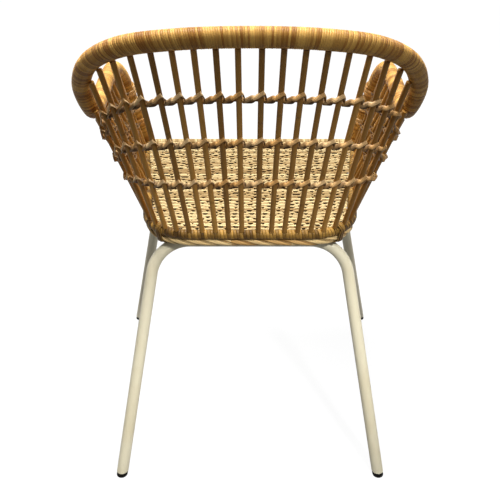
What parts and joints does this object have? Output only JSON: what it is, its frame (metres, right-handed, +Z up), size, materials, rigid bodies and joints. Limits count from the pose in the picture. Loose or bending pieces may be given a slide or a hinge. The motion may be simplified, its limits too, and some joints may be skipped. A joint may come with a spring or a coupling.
{
  "type": "rattan tub chair",
  "caption": "Rattan tub armchair with an open back of round stakes, a wrapped rail, a woven cane seat and bent white tube legs.",
  "frame": {"origin": "on the floor under the middle of the chair's overall box", "axes": "+Z up, the sitter faces -Y, +X is the sitter's left, 1 unit is 1 m"},
  "size_m": [0.5424, 0.5411, 0.7727],
  "materials": {
    "rattan_wrapping": "split cane, satin",
    "rattan_pole": "peeled rattan, matt",
    "rattan_cane": "round cane, satin",
    "woven_cane": "flat woven cane, matt",
    "painted_steel": "cream powder coat, satin",
    "black_plastic": "moulded, matt"
  },
  "bodies": {
    "root": {"rail_wrap": "rattan_wrapping", "rail_pole": "rattan_pole", "seat_ring_wrap": "rattan_wrapping", "seat_ring_pole": "rattan_pole", "seat_border": "rattan_cane", "woven_seat": "woven_cane", "seat_bearer_left": "rattan_pole", "seat_bearer_right": "rattan_pole", "stake_left_01": "rattan_cane", "stake_right_01": "rattan_cane", "stake_left_02": "rattan_cane", "stake_right_02": "rattan_cane", "stake_left_03": "rattan_cane", "stake_right_03": "rattan_cane", "stake_left_04": "rattan_cane", "stake_right_04": "rattan_cane", "stake_left_05": "rattan_cane", "stake_right_05": "rattan_cane", "stake_left_06": "rattan_cane", "stake_right_06": "rattan_cane", "stake_left_07": "rattan_cane", "stake_right_07": "rattan_cane", "stake_left_08": "rattan_cane", "stake_right_08": "rattan_cane", "stake_left_09": "rattan_cane", "stake_right_09": "rattan_cane", "stake_left_10": "rattan_cane", "stake_right_10": "rattan_cane", "stake_left_11": "rattan_cane", "stake_right_11": "rattan_cane", "stake_left_12": "rattan_cane", "stake_right_12": "rattan_cane", "stake_left_13": "rattan_cane", "stake_right_13": "rattan_cane", "stake_left_14": "rattan_cane", "stake_right_14": "rattan_cane", "stake_left_15": "rattan_cane", "stake_right_15": "rattan_cane", "stake_left_16": "rattan_cane", "stake_right_16": "rattan_cane", "stake_left_17": "rattan_cane", "stake_right_17": "rattan_cane", "stake_left_18": "rattan_cane", "stake_right_18": "rattan_cane", "stake_left_19": "rattan_cane", "stake_right_19": "rattan_cane", "stake_left_20": "rattan_cane", "stake_right_20": "rattan_cane", "twining_top": "rattan_cane", "twining_middle": "rattan_cane", "twining_bottom": "rattan_cane", "corner_binding_left": "rattan_cane", "corner_binding_right": "rattan_cane", "leg_frame_rear": "painted_steel", "glide_rear_left": "black_plastic", "glide_rear_right": "black_plastic", "leg_frame_front": "painted_steel", "glide_front_left": "black_plastic", "glide_front_right": "black_plastic"}
  },
  "joints": []
}
